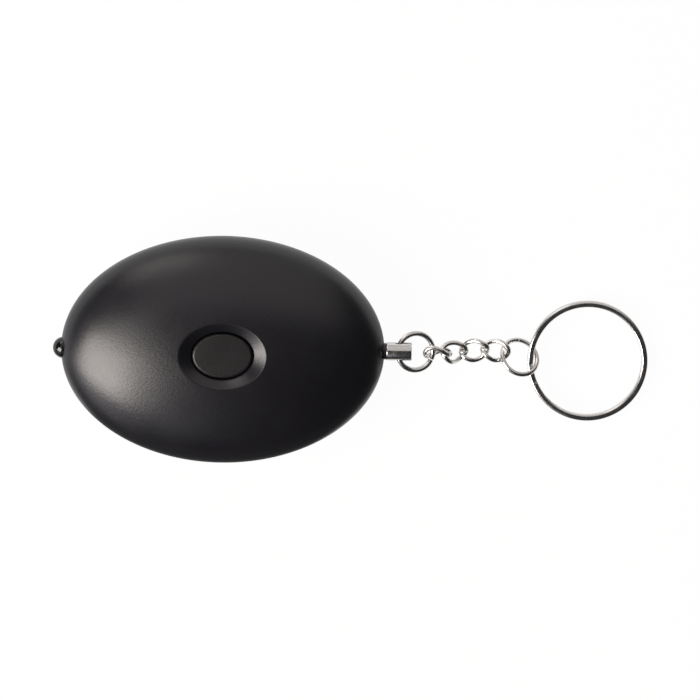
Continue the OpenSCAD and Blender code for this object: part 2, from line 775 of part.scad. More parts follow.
// One wire of almost two turns
module split_ring() color(chrome) lay(split_centre, split_pose) {
    wrap = 720 - split_step_angle;
    first = split_start_angle + split_step_angle;
    rings = round(split_rings_per_turn * wrap / 360);
    tube([for (k = [0 : rings]) split_section(first + wrap * k / rings)], false);
}

front_shell();
rear_shell();
button_cap();
circuit_board();
switch_body();
switch_plunger();
led_lens();
led_leads();
siren_disc();
siren_ceramic();
siren_wires();
coil_core();
coil_winding();
drive_transistor();
control_chip();
board_capacitor();
battery_cells();
battery_contact_positive();
battery_contact_negative();
contact_leaf(1);  // contact_leaf_upper
contact_leaf(-1);  // contact_leaf_lower
contact_carrier();
case_screws();
pin_shaft();
pin_head();
pin_ring();
chain_link(0);  // chain_link_1
chain_link(1);  // chain_link_2
chain_link(2);  // chain_link_3
chain_link(3);  // chain_link_4
key_jump_ring();
split_ring();
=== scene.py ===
"""Dresses the solids of a personal safety alarm: satin mouldings, smoked light, plated pin and key chain."""

from math import asin, cos, hypot, pi, radians, sin, sqrt

import bmesh
import bpy
from bpy.props import FloatProperty, FloatVectorProperty, IntProperty, PointerProperty
from bpy.types import NodeSocket, Operator, Panel, PropertyGroup, Scene
from mathutils import Matrix, Vector


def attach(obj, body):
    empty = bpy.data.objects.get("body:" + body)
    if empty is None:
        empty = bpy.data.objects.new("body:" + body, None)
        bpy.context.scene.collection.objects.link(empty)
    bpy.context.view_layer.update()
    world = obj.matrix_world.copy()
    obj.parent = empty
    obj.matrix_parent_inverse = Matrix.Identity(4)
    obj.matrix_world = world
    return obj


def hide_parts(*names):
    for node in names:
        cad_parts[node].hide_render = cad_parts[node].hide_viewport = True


bl_info = {
    "name": "Personal safety alarm",
    "version": (1, 0, 0),
    "blender": (4, 5, 0),
    "location": "View3D > Sidebar > Alarm",
    "description": "Builds the visible pieces of a hand-held alarm round its solids",
    "category": "Object",
}

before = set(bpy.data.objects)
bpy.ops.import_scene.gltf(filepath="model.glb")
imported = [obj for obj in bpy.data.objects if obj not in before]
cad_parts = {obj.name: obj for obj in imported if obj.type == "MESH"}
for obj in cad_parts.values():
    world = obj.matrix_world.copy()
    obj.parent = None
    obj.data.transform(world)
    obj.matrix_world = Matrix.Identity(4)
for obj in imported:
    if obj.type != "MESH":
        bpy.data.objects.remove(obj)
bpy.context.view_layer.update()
MM = 0.001
FULL_TURN = 2 * pi
# Local Z of a turned piece runs along the pull pin
ALONG_X = Matrix(((0, 0, 1, 0), (1, 0, 0, 0), (0, 1, 0, 0), (0, 0, 0, 1)))

# Places and fits that the solids set, in millimetres
SIREN_X = -8.1
SCREWS = ((-22.5, 11), (-22.5, -11), (27.5, 9), (27.5, -9))
SCREW_SEAT_Z = 7
PIN_TIP_X = 25.9
PIN_HEAD_X = 37.9
PIN_EYE = Vector((40.9, 0, 12))
PIN_BORE = 3.9
# The front's rim is cut back for the rear's lip, which fits with a gap and stands over the inner wall
REBATE = 0.9
REBATE_DEPTH = 1.3
LIP_GAP = 0.1
LIP_OVERHANG = 0.2

# Yaw, slope and roll of each chain piece as it lies in degrees, and the slack at each crossing in millimetres
PIN_RING_POSE = (-3, 19, 0)
LINK_POSES = ((-4, 24, -107), (-4, 28, 3), (9, 2, -1), (-6, 6, -15))
KEY_RING_POSE = (-20, 12, -37)
SPLIT_POSE = (0, 4, 0)
SLACK = (0.7, 0.75, 0.15, 0.15, 0.3, 0.4)

# Radius of an edge that the mould only breaks, and the straight steps that make a rounded corner
EASED = 0.15
CORNER_STEPS = 5
# Levels of a moulding's outer and inner skin, and the angle at which the radius of its rim ends
OUTER_LEVELS = 64
INNER_LEVELS = 40
RIM_ANGLE = 0.035
# Height of a surface's grain as a share of its width
GRAIN_HEIGHT = 0.1

# Point of the object at the middle of the picture, in metres, and the width of the camera's sensor
MIDDLE = Vector((0.0295, 0.0002, 0.012))
SENSOR = 36

# Settings of the arithmetic nodes
PLUS = {"operation": "ADD"}
MINUS = {"operation": "SUBTRACT"}
TIMES = {"operation": "MULTIPLY"}
LARGER = {"operation": "MAXIMUM"}
SMOOTH = {"interpolation_type": "SMOOTHSTEP"}


def linear(code):
    """Turns an sRGB hex value into linear red, green and blue."""
    parts = [int(code[i : i + 2], 16) / 255 for i in (1, 3, 5)]
    return tuple(c / 12.92 if c <= 0.04045 else ((c + 0.055) / 1.055) ** 2.4 for c in parts)


def size(name, note, value):
    """A length that a user may change, given in millimetres."""
    return FloatProperty(name=name, description=note, default=value * MM, unit="LENGTH", precision=5)


def angle(name, note, value):
    """An angle that a user may change, given in degrees."""
    return FloatProperty(name=name, description=note, default=radians(value), subtype="ANGLE")


def colour(name, note, code):
    """A colour that a user may change, given as an sRGB hex value."""
    kind = {"subtype": "COLOR", "size": 3, "min": 0, "max": 1}
    return FloatVectorProperty(name=name, description=note, default=linear(code), **kind)


class AlarmHousing(PropertyGroup):
    """Sizes and colours of the two mouldings, the button and the light"""

    length: size("Length", "Length of the oval housing", 75)
    width: size("Width", "Width of the oval housing", 53)
    dome: size("Dome", "Rise of the front above the parting plane", 13)
    bowl: size("Bowl", "Depth of the rear before its foot is cut flat", 13)
    parting: size("Parting plane", "Height of the parting plane above the foot", 12)
    wall: size("Wall", "Thickness of the mouldings", 2)
    edge: size("Edge", "Radius of the moulded edges", 0.25)
    button_length: size("Button length", "Length of the oval button", 14)
    button_width: size("Button width", "Width of the oval button", 10.5)
    button_gap: size("Button gap", "Gap between the button and its opening", 0.3)
    recess_length: size("Recess length", "Length of the countersink at the dome's top", 22)
    recess_width: size("Recess width", "Width of the countersink at the dome's top", 16.9)
    recess_depth: size("Recess depth", "Depth of the countersink below the dome's top", 2.1)
    lens: size("Lens", "Diameter of the light", 5)
    shell_colour: colour("Shell", "Colour of the moulded shells", "#131217")
    button_colour: colour("Button", "Colour of the push button", "#141314")


class AlarmChain(PropertyGroup):
    """Sizes and colour of the pull pin, the links and the rings"""

    head: size("Pin head", "Diameter of the plated head", 4.2)
    ring: size("Jump rings", "Outer diameter of both jump rings", 9.8)
    pin_wire: size("Pin ring wire", "Wire of the jump ring on the pin", 1.2)
    key_wire: size("Key ring wire", "Wire of the jump ring on the split ring", 1.1)
    ring_cut: size("Ring cut", "Width of the cut in each jump ring", 0.2)
    link_length: size("Link length", "Length of a chain link", 7.3)
    link_width: size("Link width", "Width of a chain link", 5.6)
    link_wire: size("Link wire", "Wire of a chain link", 1.1)
    link_twist: angle("Link twist", "Turn of each end of a link", 39)
    split: size("Split ring", "Outer diameter of the split ring", 28)
    split_band: size("Split ring wire", "Width of its flat wire", 1.4)
    split_height: size("Split ring height", "Height of its flat wire", 1.15)
    split_gap: size("Split ring gap", "Gap between its two turns", 0.06)
    split_edge: size("Split ring edge", "Radius of its wire's edges", 0.45)
    plate_colour: colour("Plating", "Colour of the nickel plate", "#d8d6d3")


class AlarmStage(PropertyGroup):
    """Camera, and the fineness of the mouldings"""

    lens: FloatProperty(name="Lens", description="Focal length of the camera in millimetres", default=800)
    tilt: angle("Tilt", "Lean of the camera towards the rear edge", 8)
    roll: angle("Roll", "Turn of the picture", 0.7)
    field: size("Field", "Width of the picture at the object", 162.3)
    steps: IntProperty(name="Steps", description="Steps round the oval of a moulding", default=240, min=48)


def in_mm(*lengths):
    """Lengths in millimetres."""
    return tuple(length / MM for length in lengths)


def bare_tree(owner):
    """Empties the node tree of a material or a world."""
    owner.use_nodes = True
    owner.node_tree.nodes.clear()
    return owner.node_tree


def add(tree, kind, inputs=(), **settings):
    """Adds a node with its settings, sets or links its inputs, and returns its outputs."""
    node = tree.nodes.new(kind)
    for key, value in settings.items():
        setattr(node, key, value)
    for key, value in dict(inputs).items():
        if isinstance(value, NodeSocket):
            tree.links.new(value, node.inputs[key])
        else:
            node.inputs[key].default_value = value
    return node.outputs


def finish(name, tint, rough, metallic, grain, bump, cloud, spread, shade, stretch=(1, 1, 1), **plain):
    """A procedural surface, with sizes in millimetres.

    Fine grain lifts it as bump. Soft clouds change its colour by a share, shade, and its roughness by spread.
    What is left over goes to the shader's own sockets.
    """
    material = bpy.data.materials.new(name)
    tree = bare_tree(material)
    place = add(tree, "ShaderNodeTexCoord")["Object"]
    drawn = add(tree, "ShaderNodeMapping", {"Vector": place, "Scale": stretch})["Vector"]
    fine = {"Vector": drawn, "Scale": 1 / (grain * MM), "Detail": 3.0, "Roughness": 0.6}
    broad = {"Vector": place, "Scale": 1 / (cloud * MM), "Detail": 4.0, "Roughness": 0.55}
    grains, clouds = (add(tree, "ShaderNodeTexNoise", noise)["Fac"] for noise in (fine, broad))
    low, high = ([c * k for c in tint] + [1.0] for k in (1 - shade, 1 + shade))
    # Sockets 6 and 7, and output 2, are the colours of this node
    mixed = add(tree, "ShaderNodeMix", {0: clouds, 6: low, 7: high}, data_type="RGBA")[2]
    span = {"From Min": 0.3, "From Max": 0.7, "To Min": rough - spread, "To Max": rough + spread}
    worn = add(tree, "ShaderNodeMapRange", {"Value": clouds, **span})["Result"]
    lift = {"Strength": bump, "Distance": GRAIN_HEIGHT * grain * MM, "Height": grains}
    relief = add(tree, "ShaderNodeBump", lift)["Normal"]
    skin = {"Base Color": mixed, "Roughness": worn, "Metallic": metallic, "Normal": relief, **plain}
    shader = add(tree, "ShaderNodeBsdfPrincipled", skin)["BSDF"]
    add(tree, "ShaderNodeOutputMaterial", {"Surface": shader})
    return material


def moulded_skin(name, tint, rough, gloss=0.5):
    """Plastic from a spark-eroded mould: a soft highlight with a faint grain."""
    shine = {"metallic": 0.0, "IOR": 1.54, "Specular IOR Level": gloss}
    # The true grain is about a tenth of this size and would not show, so it is drawn coarser
    return finish(name, tint, rough, grain=0.7, bump=0.36, cloud=9, spread=0.03, shade=0.1, **shine)


def nickel_wire():
    """Nickel plate on bent steel wire: bright and neutral, with drawing marks and handling marks."""
    name = "nickel_plated_wire"
    tint = bpy.context.scene.alarm_chain.plate_colour
    # Drawing marks are a few hundredths of a millimetre wide and would not show, so they are drawn coarser
    marks = dict(grain=0.5, bump=0.06, cloud=1.6, spread=0.05, shade=0.1)
    return bpy.data.materials.get(name) or finish(name, tint, rough=0.2, metallic=1.0, **marks)


def outline(corners, closed=True):
    """Rounds the corners of a profile.

    A corner is half length, half width, height, radius and height at the sides.
    """
    points = [(c[0], c[1], c[2], c[4] if len(c) > 4 else c[2]) for c in corners]
    radii = [c[3] if len(c) > 3 else 0 for c in corners]
    count = len(points)
    result = []
    for i, (p, r) in enumerate(zip(points, radii)):
        if not r or (not closed and i in (0, count - 1)):
            result.append(p)
            continue
        ends = []
        for q in (points[i - 1], points[(i + 1) % count]):
            away = hypot(q[0] - p[0], q[2] - p[2])
            cut = min(r, away / 2) / away
            ends.append([u + (v - u) * cut for u, v in zip(p, q)])
        bend = (ends[0], p, ends[1])
        for k in range(CORNER_STEPS + 1):
            t = k / CORNER_STEPS
            weights = ((1 - t) ** 2, 2 * t * (1 - t), t * t)
            result.append(tuple(sum(w * s[j] for w, s in zip(weights, bend)) for j in range(4)))
    return result


def stacked(levels, closed=False):
    """A solid through loops of points; closed joins the last loop to the first, else both ends are capped."""
    bm = bmesh.new()
    loops = [[bm.verts.new(point) for point in level] for level in levels]
    pairs = list(zip(loops, loops[1:] + loops[:1]))
    for low, high in pairs if closed else pairs[:-1]:
        for k in range(len(low)):
            m = (k + 1) % len(low)
            bm.faces.new((low[k], low[m], high[m], high[k]))
    if not closed:
        bm.faces.new(loops[0])
        bm.faces.new(loops[-1])
    bmesh.ops.recalc_face_normals(bm, faces=bm.faces)
    return bm


def oval_sweep(profile, steps, closed):
    """A moulding whose every level is an oval, at one height along its length and another at its sides."""
    turns = [FULL_TURN * k / steps for k in range(steps)]
    circle = [(cos(t), sin(t)) for t in turns]
    levels = [
        [(a * c, b * s, along * c**2 + beside * s**2) for c, s in circle] for a, b, along, beside in profile
    ]
    return stacked(levels, closed)


def turned(corners, steps=96):
    """A round piece from half a profile of radius, height and corner radius, turned about local Z."""
    full = [(c[0], c[0], c[1], c[2] if len(c) > 2 else 0) for c in corners]
    return oval_sweep(outline(full, closed=False), steps, closed=False)


def as_object(name, source, matrix=None, scale=MM):
    """Makes a mesh object at the origin from a bmesh, in millimetres unless scale says otherwise."""
    if matrix is not None:
        source.transform(matrix)
    source.transform(Matrix.Scale(scale, 4))
    mesh = bpy.data.meshes.new(name)
    source.to_mesh(mesh)
    source.free()
    made = bpy.data.objects.new(name, mesh)
    bpy.context.scene.collection.objects.link(made)
    return made


def round_bar(name, start, axis, length, diameter, sides=96):
    """A cutter along X or Z from its start, turned half a step so that no edge lies on a plane."""
    bm = turned([(diameter / 2, 0), (diameter / 2, length)], sides)
    bm.transform(Matrix.Rotation(pi / sides, 4, "Z"))
    turn = ALONG_X if axis == "X" else Matrix.Identity(4)
    return as_object(name, bm, Matrix.Translation(start) @ turn)


def plain_mesh(made):
    """Applies an object's modifiers to its mesh."""
    bpy.context.view_layer.update()
    seen = made.evaluated_get(bpy.context.evaluated_depsgraph_get())
    mesh = bpy.data.meshes.new_from_object(seen)
    old = made.data
    made.modifiers.clear()
    made.data = mesh
    mesh.name = made.name
    bpy.data.meshes.remove(old)


def carve(made, tools, operation):
    """Joins closed tools to a piece, or cuts them out of it."""
    for tool in tools:
        step = made.modifiers.new("carve", "BOOLEAN")
        step.operation = operation
        step.solver = "EXACT"
        step.object = tool
    plain_mesh(made)
    for tool in tools:
        bpy.data.objects.remove(tool)


def settle(made, material, body, node, crease=32):
    """Gives a finished piece its shading, material and body, and hides the solid that it stands for."""
    mesh = made.data
    mesh.materials.clear()
    mesh.materials.append(material)
    mesh.polygons.foreach_set("material_index", [0] * len(mesh.polygons))
    mesh.polygons.foreach_set("use_smooth", [True] * len(mesh.polygons))
    mesh.set_sharp_from_angle(angle=radians(crease))
    mesh.update()
    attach(made, body)
    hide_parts(node)


class ALARM_OT_housing(Operator):
    """Builds the front and rear mouldings"""

    bl_idname = "alarm.housing"
    bl_label = "Housing"

    def execute(self, context):
        s = context.scene.alarm_housing
        steps = context.scene.alarm_stage.steps
        dome, bowl = outline(self.front_levels(s)), outline(self.rear_levels(s), closed=False)
        front = as_object("front_moulding", oval_sweep(dome, steps, closed=True))
        rear = as_object("rear_moulding", oval_sweep(bowl, steps, closed=False))
        carve(rear, [self.screw_boss(s, x, y) for x, y in SCREWS], "UNION")
        for shell, up in ((front, 1), (rear, -1)):
            carve(shell, self.end_collars(s, up), "UNION")
            carve(shell, self.end_bores(s), "DIFFERENCE")
        carve(rear, [*self.sound_slots(), *self.screw_holes()], "DIFFERENCE")
        # ABS from a finely eroded mould: satin black, with one broad soft highlight
        skin = moulded_skin("satin_black_abs", s.shell_colour, rough=0.33)
        settle(front, skin, "housing", "front_shell")
        settle(rear, skin, "housing", "rear_shell")
        return {"FINISHED"}

    def skin_levels(self, s, rise, start, end, inset, count, up):
        """Levels of an ellipsoid between two angles above or below the parting plane"""
        half_l, half_w, parting = in_mm(s.length / 2, s.width / 2, s.parting)
        levels = []
        for k in range(count + 1):
            t = start + (end - start) * k / count
            z = parting + up * (rise - inset) * sin(t)
            levels.append(((half_l - inset) * cos(t), (half_w - inset) * cos(t), z))
        return levels

    def front_levels(self, s):
        """The dome from rim to recess, the button's opening and collar, and the inside down to the rebate"""
        half_l, half_w, parting, wall = in_mm(s.length / 2, s.width / 2, s.parting, s.wall)
        edge, rise = in_mm(s.edge, s.dome)
        hole_l, hole_w = in_mm(s.button_length / 2 + s.button_gap, s.button_width / 2 + s.button_gap)
        depth, rim_l, rim_w = in_mm(s.recess_depth, s.recess_length / 2, s.recess_width / 2)
        seat_z = parting + rise - depth
        seat_l = hole_w * rim_l / rim_w
        seat_end = seat_z + max(0, hole_l - seat_l) / (rim_l - seat_l) * depth

        def on_dome(a, b, inset, radius=0):
            """An oval that lies on the dome, or on its inside"""
            along, beside = (
                parting + (rise - inset) * sqrt(1 - (reach / (half - inset)) ** 2)
                for reach, half in ((a, half_l), (b, half_w))
            )
            return (a, b, along, radius, beside)

        def recess_edge(low, high, half):
            """Half size of the recess where its cone meets the dome, found by halving"""
            below, above = seat_z, seat_z + depth
            for _ in range(40):
                z = (below + above) / 2
                cone = low + (high - low) * (z - seat_z) / depth
                dome = half * sqrt(1 - ((z - parting) / rise) ** 2)
                below, above = (z, above) if cone < dome else (below, z)
            return cone

        edge_l, edge_w = recess_edge(seat_l, rim_l, half_l), recess_edge(hole_w, rim_w, half_w)
        recess_round, collar_root, collar, collar_z = 0.25, 0.4, 1.4, 21.0
        collar_l, collar_w = hole_l + collar, hole_w + collar
        rebate_l, rebate_w = half_l - REBATE, half_w - REBATE
        outer_end, inner_start, lead = 1.22, 1.2, 0.8
        rebate_angle = asin(REBATE_DEPTH / (rise - wall))
        return [
            (half_l, half_w, parting, edge),
            *self.skin_levels(s, rise, RIM_ANGLE, outer_end, 0, OUTER_LEVELS, 1),
            # Two levels lead from the dome's oval to the recess's, which has other proportions
            *(on_dome(edge_l + out, edge_w + lead * out, 0) for out in (1.2, 0.6)),
            on_dome(edge_l, edge_w, 0, recess_round),
            (hole_l, hole_w, seat_end, EASED, seat_z),
            (hole_l, hole_w, collar_z, EASED),
            (collar_l, collar_w, collar_z, EASED),
            on_dome(collar_l, collar_w, wall, collar_root),
            *self.skin_levels(s, rise, inner_start, rebate_angle, wall, INNER_LEVELS, 1),
            (rebate_l, rebate_w, parting + REBATE_DEPTH),
            (rebate_l, rebate_w, parting),
        ]

    def rear_levels(self, s):
        """The foot, the bowl up to its rim, the lip, and the inside down to the floor"""
        half_l, half_w, parting, wall = in_mm(s.length / 2, s.width / 2, s.parting, s.wall)
        edge, sink = in_mm(s.edge, s.bowl)
        foot_angle = asin(parting / sink)
        floor_angle = asin((parting - wall) / (sink - wall))
        foot_l, foot_w = half_l * cos(foot_angle), half_w * cos(foot_angle)
        foot_band, foot_round, foot_turn, rim_turn = 2, 0.6, 0.05, 0.01
        floor_l, floor_w = 10, 6.5
        lip_l, lip_w = half_l - REBATE - LIP_GAP, half_w - REBATE - LIP_GAP
        inner_l, inner_w = half_l - wall + LIP_OVERHANG, half_w - wall + LIP_OVERHANG
        lip_z = parting + REBATE_DEPTH - LIP_GAP
        return [
            (foot_l - foot_band, foot_w - foot_band, 0),
            (foot_l, foot_w, 0, foot_round),
            *self.skin_levels(s, sink, foot_angle - foot_turn, RIM_ANGLE, 0, OUTER_LEVELS, -1),
            (half_l, half_w, parting, edge),
            (lip_l, lip_w, parting),
            (lip_l, lip_w, lip_z, EASED),
            (inner_l, inner_w, lip_z, EASED),
            (inner_l, inner_w, parting),
            *self.skin_levels(s, sink, rim_turn, floor_angle, wall, INNER_LEVELS, -1),
            (floor_l, floor_w, wall),
        ]

    def end_collars(self, s, up):
        """Halves of the collars round the light and the pin, on the parting plane"""
        half_l, parting = in_mm(s.length / 2, s.parting)
        length, sides = 3.4, 32
        # Where each starts, and its diameter
        light, pin = (-half_l + 2.4, 8.0), (half_l - 5, 7.0)
        collars = []
        for x, diameter in (light, pin):
            r = diameter / 2
            arc = [pi * k / sides * up for k in range(sides + 1)]
            ends = [[(at, r * cos(t), parting + r * sin(t)) for t in arc] for at in (x, x + length)]
            collars.append(as_object("collar", stacked(ends)))
        return collars

    def end_bores(self, s):
        """Cutters for the bores of the light and the pin"""
        half_l, parting, lens = in_mm(s.length / 2, s.parting, s.lens)
        fit, light_start, light_depth, pin_start, pin_depth = 0.1, -half_l - 3, 10, half_l - 6, 8
        light = round_bar("light_bore", (light_start, 0, parting), "X", light_depth, lens + fit)
        pin = round_bar("pin_bore", (pin_start, 0, parting), "X", pin_depth, PIN_BORE)
        return [light, pin]

    def screw_boss(self, s, x, y):
        """A boss whose foot follows the middle of the rear wall, and whose top stays just under the front"""
        half_l, half_w, wall, parting, sink = in_mm(s.length / 2, s.width / 2, s.wall, s.parting, s.bowl)
        inset = wall / 2
        radius, sides, short = 2.6, 48, 0.02

        def wall_z(px, py):
            inside = 1 - (px / (half_l - inset)) ** 2 - (py / (half_w - inset)) ** 2
            return parting - (sink - inset) * sqrt(inside)

        bm = bmesh.new()
        turns = [FULL_TURN * k / sides for k in range(sides)]
        rim = [(x + radius * cos(t), y + radius * sin(t)) for t in turns]
        low = [bm.verts.new((px, py, wall_z(px, py))) for px, py in rim]
        top = [bm.verts.new((px, py, parting - short)) for px, py in rim]
        middle = bm.verts.new((x, y, wall_z(x, y)))
        for k in range(sides):
            m = (k + 1) % sides
            bm.faces.new((low[k], low[m], top[m], top[k]))
            bm.faces.new((low[m], low[k], middle))
        bm.faces.new(top)
        bmesh.ops.recalc_face_normals(bm, faces=bm.faces)
        return as_object("boss", bm)

    def sound_slots(self):
        """Cutters for the rows of slots in a round field, with eased mouths"""
        pitch, field, radius, ease, through, arc_steps = 3.4, 7.5, 1, 0.35, 3, 16
        mouth = radius + ease
        slots = []
        for row in range(-2, 3):
            y = row * pitch
            half = sqrt(field**2 - y * y) - radius
            levels = []
            for z, r in ((-1, mouth), (0, mouth), (ease, radius), (through, radius)):
                level = []
                for end, start in ((1, -90), (-1, 90)):
                    turns = [radians(start + 180 * k / arc_steps) for k in range(arc_steps + 1)]
                    level += [(SIREN_X + end * half + r * cos(t), y + r * sin(t), z) for t in turns]
                levels.append(level)
            slots.append(as_object("slot", stacked(levels)))
        return slots

    def screw_holes(self):
        """Cutters for the stepped screw holes"""
        head, shank, length, under = 4.0, 2.1, 8, 1
        holes = []
        for x, y in SCREWS:
            holes.append(round_bar("head_hole", (x, y, -under), "Z", length, head, sides=64))
            holes.append(round_bar("shank_hole", (x, y, SCREW_SEAT_Z - under), "Z", length, shank, sides=48))
        return holes


class ALARM_OT_button(Operator):
    """Builds the oval push button with its flange and stem"""

    bl_idname = "alarm.button"
    bl_label = "Button"

    def execute(self, context):
        s = context.scene.alarm_housing
        a, b, gap = in_mm(s.button_length / 2, s.button_width / 2, s.button_gap)
        stem_z, flange_z, shoulder_z, top_z = 18.3, 20.0, 20.8, 23.5
        core, stem, flange, crown = 1.6, 2.2, gap + 1.1, 4
        bevel, bevel_drop = 0.35, 0.45
        profile = [(core, core, stem_z), (stem, stem, stem_z, 0.2), (stem, stem, flange_z, 0.3)]
        profile += [(a + flange, b + flange, z, EASED) for z in (flange_z, shoulder_z)]
        profile += [(a, b, shoulder_z, 0.2), (a, b, top_z - bevel_drop, EASED)]
        profile += [(a - bevel, b - bevel, top_z, 0.3), (a - crown, b - crown, top_z)]
        made = as_object("push_button", oval_sweep(outline(profile, closed=False), steps=160, closed=False))
        # ABS from a coarser part of the mould: duller than the shell, so its flat top stays charcoal
        skin = moulded_skin("matt_black_abs", s.button_colour, rough=0.42, gloss=0.42)
        settle(made, skin, "button", "button_cap")
        return {"FINISHED"}


class ALARM_OT_light(Operator):
    """Builds the smoked light"""

    bl_idname = "alarm.light"
    bl_label = "Light"

    def execute(self, context):
        s = context.scene.alarm_housing
        r, half_l, parting = in_mm(s.lens / 2, s.length / 2, s.parting)
        proud, rim, rim_z, base_z, core = 1.9, 0.4, 7.6, 8.6, 0.5
        pole, arc_steps = 0.02, 24
        turns = [pole] + [pi / 2 * k / arc_steps for k in range(1, arc_steps + 1)]
        profile = [(r * sin(t), r - r * cos(t)) for t in turns]
        profile += [(r, rim_z, 0.1), (r + rim, rim_z, EASED), (r + rim, base_z, 0.2), (core, base_z)]
        at = Matrix.Translation((-half_l - proud, 0, parting)) @ ALONG_X
        # Smoked cast epoxy: nearly black, polished by its mould, so it carries small bright points
        polish = dict(grain=0.6, bump=0.02, cloud=3, spread=0.01, shade=0.1, IOR=1.53)
        smoked = finish("smoked_cast_epoxy", linear("#0c0c0e"), rough=0.06, metallic=0.0, **polish)
        settle(as_object("light_lens", turned(profile), at), smoked, "housing", "led_lens")
        return {"FINISHED"}


class ALARM_OT_pull_pin(Operator):
    """Builds the insulating shaft and the plated head of the pull pin"""

    bl_idname = "alarm.pull_pin"
    bl_label = "Pull pin"

    def execute(self, context):
        z = context.scene.alarm_housing.parting / MM
        self.shaft(z)
        self.head(context.scene.alarm_chain, z)
        return {"FINISHED"}

    def shaft(self, z):
        """A pointed tip, the shaft and the tenon that holds the head"""
        core, point, tip, shaft, tenon = 0.3, 0.6, 1.2, 1.9, 1
        taper, step, shoulder, end = 1, 6.1, 12, 13.2
        profile = [(core, 0), (point, 0, EASED), (tip, taper, 0.3), (tip, step, EASED), (shaft, step, 0.2)]
        profile += [(shaft, shoulder), (tenon, shoulder), (tenon, end, 0.1), (core, end)]
        at = Matrix.Translation((PIN_TIP_X, 0, z)) @ ALONG_X
        # Moulded nylon: smooth black with a soft shine
        nylon = moulded_skin("black_nylon", linear("#151416"), rough=0.38)
        made = as_object("pin_shaft_moulding", turned(profile, steps=64), at)
        settle(made, nylon, "pull_pin", "pin_shaft")

    def head(self, s, z):
        """A turned head with a cross hole for the ring and a socket for the tenon"""
        r = s.head / 2 / MM
        core, length, bevel = 0.4, 5.9, 0.3
        eye, drill, socket, socket_depth, past = 1.1, 8, 2.04, 1.72, 0.5
        profile = [(core, 0), (r, 0, bevel), (r, length, bevel), (core, length)]
        at = Matrix.Translation((PIN_HEAD_X, 0, z)) @ ALONG_X
        made = as_object("pin_head_turning", turned(profile, steps=128), at)
        across = Matrix.Translation((PIN_EYE.x, -drill / 2, z)) @ Matrix.Rotation(-pi / 2, 4, "X")
        hole = as_object("hole", turned([(eye, 0), (eye, drill)], steps=64), across)
        seat = round_bar("socket", (PIN_HEAD_X - past, 0, z), "X", socket_depth, socket, sides=48)
        carve(made, [hole, seat], "DIFFERENCE")
        # Nickel plate on a turned blank: fine rings round it catch the light, with small pits from plating.
        # The rings are far finer on a real blank and would not show, so they are drawn coarser.
        rings = dict(grain=0.22, bump=0.35, cloud=1.2, spread=0.07, shade=0.16, stretch=(6, 1, 1))
        plate = finish("nickel_plated_turning", s.plate_colour, rough=0.2, metallic=1.0, **rings)
        settle(made, plate, "pull_pin", "pin_head")


def heading(pose):
    """Direction of a chain piece from its yaw and downward slope in degrees."""
    yaw, slope = (radians(v) for v in pose[:2])
    return Vector((cos(slope) * cos(yaw), cos(slope) * sin(yaw), -sin(slope)))


def lie(pose):
    """Turns of a piece about X, Y and Z from its yaw, slope and roll in degrees."""
    return tuple(radians(v) for v in (pose[2], pose[1], pose[0]))


def chain_places(s):
    """Centres of the pin ring, the links, the key ring and the split ring, in metres."""
    wire, pin_wire, key_wire = in_mm(s.link_wire, s.pin_wire, s.key_wire)
    pin_r, key_r = (s.ring / MM - pin_wire) / 2, (s.ring / MM - key_wire) / 2
    band, split_od, split_h, half_gap = in_mm(s.split_band, s.split, s.split_height, s.split_gap / 2)
    bow = (pin_r - sqrt(pin_r**2 - (s.head / MM) ** 2 / 4)) / 2
    half = (s.link_length / MM - wire) / 2
    centres = [PIN_EYE + heading(PIN_RING_POSE) * (pin_r - bow)]
    start = centres[0] + heading(PIN_RING_POSE) * (pin_r - (pin_wire + wire) / 2 - SLACK[0])
    for k, pose in enumerate(LINK_POSES):
        centres.append(start + heading(pose) * half)
        grip = wire if k < len(LINK_POSES) - 1 else (wire + key_wire) / 2
        start = start + heading(pose) * (2 * half - grip - SLACK[k + 1])
    centres.append(start + heading(KEY_RING_POSE) * key_r)
    rim = centres[-1] + heading(KEY_RING_POSE) * (key_r - (key_wire + band) / 2 - SLACK[-1])
    place = rim + heading(SPLIT_POSE) * (split_od - band) / 2
    # The split ring's lowest edge rests on the floor
    place.z = split_h + half_gap + split_od / 2 * sin(radians(SPLIT_POSE[1]))
    centres.append(place)
    return [centre * MM for centre in centres]


PLACING = (("Centre", "NodeSocketVector"), ("Turn", "NodeSocketVector"), ("Material", "NodeSocketMaterial"))


def sizes(*names):
    """Sockets for named sizes."""
    return [(name, "NodeSocketFloat") for name in names]


def new_tree(name, sockets):
    """A geometry tree with named inputs; returns the tree and its inputs."""
    tree = bpy.data.node_groups.new(name, "GeometryNodeTree")
    for label, kind in sockets:
        tree.interface.new_socket(label, in_out="INPUT", socket_type=kind)
    tree.interface.new_socket("Geometry", in_out="OUTPUT", socket_type="NodeSocketGeometry")
    return tree, add(tree, "NodeGroupInput")


def half_of(tree, whole, less):
    """Half of a size from which another is taken."""
    rest = add(tree, "ShaderNodeMath", {0: whole, 1: less}, **MINUS)
    return add(tree, "ShaderNodeMath", {0: rest[0], 1: 0.5}, **TIMES)[0]


def round_wire(tree, path, wire):
    """A round wire along a path, closed at its ends where it has any."""
    radius = half_of(tree, wire, 0.0)
    section = add(tree, "GeometryNodeCurvePrimitiveCircle", {"Resolution": 28, "Radius": radius})
    swept = {"Curve": path, "Profile Curve": section[0], "Fill Caps": True}
    return add(tree, "GeometryNodeCurveToMesh", swept)[0]


def lay(tree, solid, given):
    """Turns a solid and moves it to where it lies."""
    moved = {"Geometry": solid, "Translation": given["Centre"], "Rotation": given["Turn"]}
    return add(tree, "GeometryNodeTransform", moved)[0]


